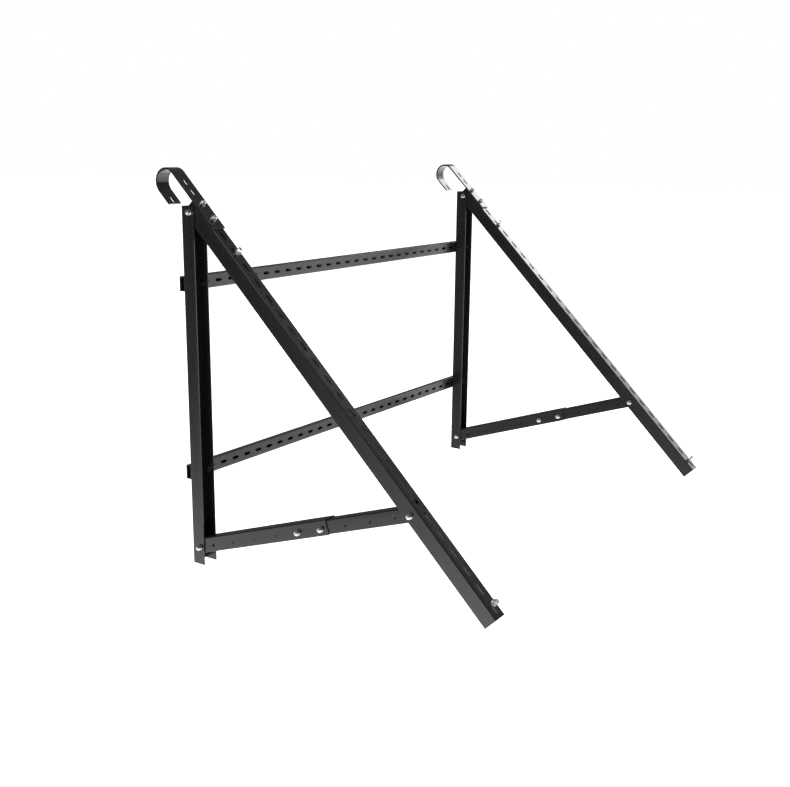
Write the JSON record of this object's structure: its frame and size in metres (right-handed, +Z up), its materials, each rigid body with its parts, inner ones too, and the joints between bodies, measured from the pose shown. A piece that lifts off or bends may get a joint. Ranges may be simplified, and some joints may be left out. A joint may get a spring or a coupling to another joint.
{
  "type": "balcony bracket",
  "caption": "Pair of hinged triangular channel brackets that hook over a railing, tied by slotted cross-beams, to carry a tilted flat panel.",
  "frame": {"origin": "midway between the two hook bends, on the centre line of the railing they hang on", "axes": "+X along the railing from the left support to the right one, +Z up, -Y away from the railing"},
  "size_m": [1.516, 1.0621, 1.0976],
  "materials": {
    "black_paint": "satin black powder coat",
    "black_beam": "satin black powder coat",
    "zinc": "bright zinc plate"
  },
  "bodies": {
    "frame": {"upper_beam": "black_beam", "lower_beam": "black_beam", "left_post": "black_paint", "left_top_pivot_bolt": "zinc", "left_top_pivot_nut": "zinc", "left_low_pivot_bolt": "zinc", "left_low_pivot_nut": "zinc", "left_upper_beam_bolt": "zinc", "left_upper_beam_nut": "zinc", "left_lower_beam_bolt": "zinc", "left_lower_beam_nut": "zinc", "right_post": "black_paint", "right_top_pivot_bolt": "zinc", "right_top_pivot_nut": "zinc", "right_low_pivot_bolt": "zinc", "right_low_pivot_nut": "zinc", "right_upper_beam_bolt": "zinc", "right_upper_beam_nut": "zinc", "right_lower_beam_bolt": "zinc", "right_lower_beam_nut": "zinc"},
    "left_rail_body": {"left_rail": "black_paint", "left_hook": "black_paint", "left_strut_end_bolt": "zinc", "left_strut_end_nut": "zinc", "left_hook_1_bolt": "zinc", "left_hook_1_nut": "zinc", "left_hook_2_bolt": "zinc", "left_hook_2_nut": "zinc", "left_panel_1_bolt": "zinc", "left_panel_1_nut": "zinc", "left_panel_2_bolt": "zinc", "left_panel_2_nut": "zinc"},
    "left_outer_body": {"left_strut_outer": "black_paint", "left_strut_lock_1_bolt": "zinc", "left_strut_lock_1_nut": "zinc", "left_strut_lock_2_bolt": "zinc", "left_strut_lock_2_nut": "zinc"},
    "left_inner_body": {"left_strut_inner": "black_paint"},
    "right_rail_body": {"right_rail": "black_paint", "right_hook": "black_paint", "right_strut_end_bolt": "zinc", "right_strut_end_nut": "zinc", "right_hook_1_bolt": "zinc", "right_hook_1_nut": "zinc", "right_hook_2_bolt": "zinc", "right_hook_2_nut": "zinc", "right_panel_1_bolt": "zinc", "right_panel_1_nut": "zinc", "right_panel_2_bolt": "zinc", "right_panel_2_nut": "zinc"},
    "right_outer_body": {"right_strut_outer": "black_paint", "right_strut_lock_1_bolt": "zinc", "right_strut_lock_1_nut": "zinc", "right_strut_lock_2_bolt": "zinc", "right_strut_lock_2_nut": "zinc"},
    "right_inner_body": {"right_strut_inner": "black_paint"}
  },
  "joints": [
    {"name": "left_rail_tilt", "type": "hinge", "parent": "frame", "child": "left_rail_body", "pos_m": [-0.72, -0.08464, -0.07658], "axis": [-1, 0, 0], "range_deg": [-0.8, 5]},
    {"name": "left_strut_swing", "type": "hinge", "parent": "frame", "child": "left_outer_body", "pos_m": [-0.72, -0.08314, -1.01058], "axis": [-1, 0, 0], "range_deg": [-0.6, 3.2]},
    {"name": "left_strut_slide", "type": "slide", "parent": "left_outer_body", "child": "left_inner_body", "axis": [0, -0.9467, 0.3221], "range_m": [-0.0135, 0.0805]},
    {"name": "right_rail_tilt", "type": "hinge", "parent": "frame", "child": "right_rail_body", "pos_m": [0.72, -0.08464, -0.07658], "axis": [-1, 0, 0], "range_deg": [-0.8, 5]},
    {"name": "right_strut_swing", "type": "hinge", "parent": "frame", "child": "right_outer_body", "pos_m": [0.72, -0.08314, -1.01058], "axis": [-1, 0, 0], "range_deg": [-0.6, 3.2]},
    {"name": "right_strut_slide", "type": "slide", "parent": "right_outer_body", "child": "right_inner_body", "axis": [0, -0.9467, 0.3221], "range_m": [-0.0135, 0.0805]}
  ],
  "couplings": [
    {"joint": "left_strut_swing", "follows": "left_rail_tilt", "ratio": 0.58154},
    {"joint": "left_strut_slide", "follows": "left_rail_tilt", "m_per_rad": 0.87565},
    {"joint": "right_strut_swing", "follows": "right_rail_tilt", "ratio": 0.58154},
    {"joint": "right_strut_slide", "follows": "right_rail_tilt", "m_per_rad": 0.87565}
  ]
}
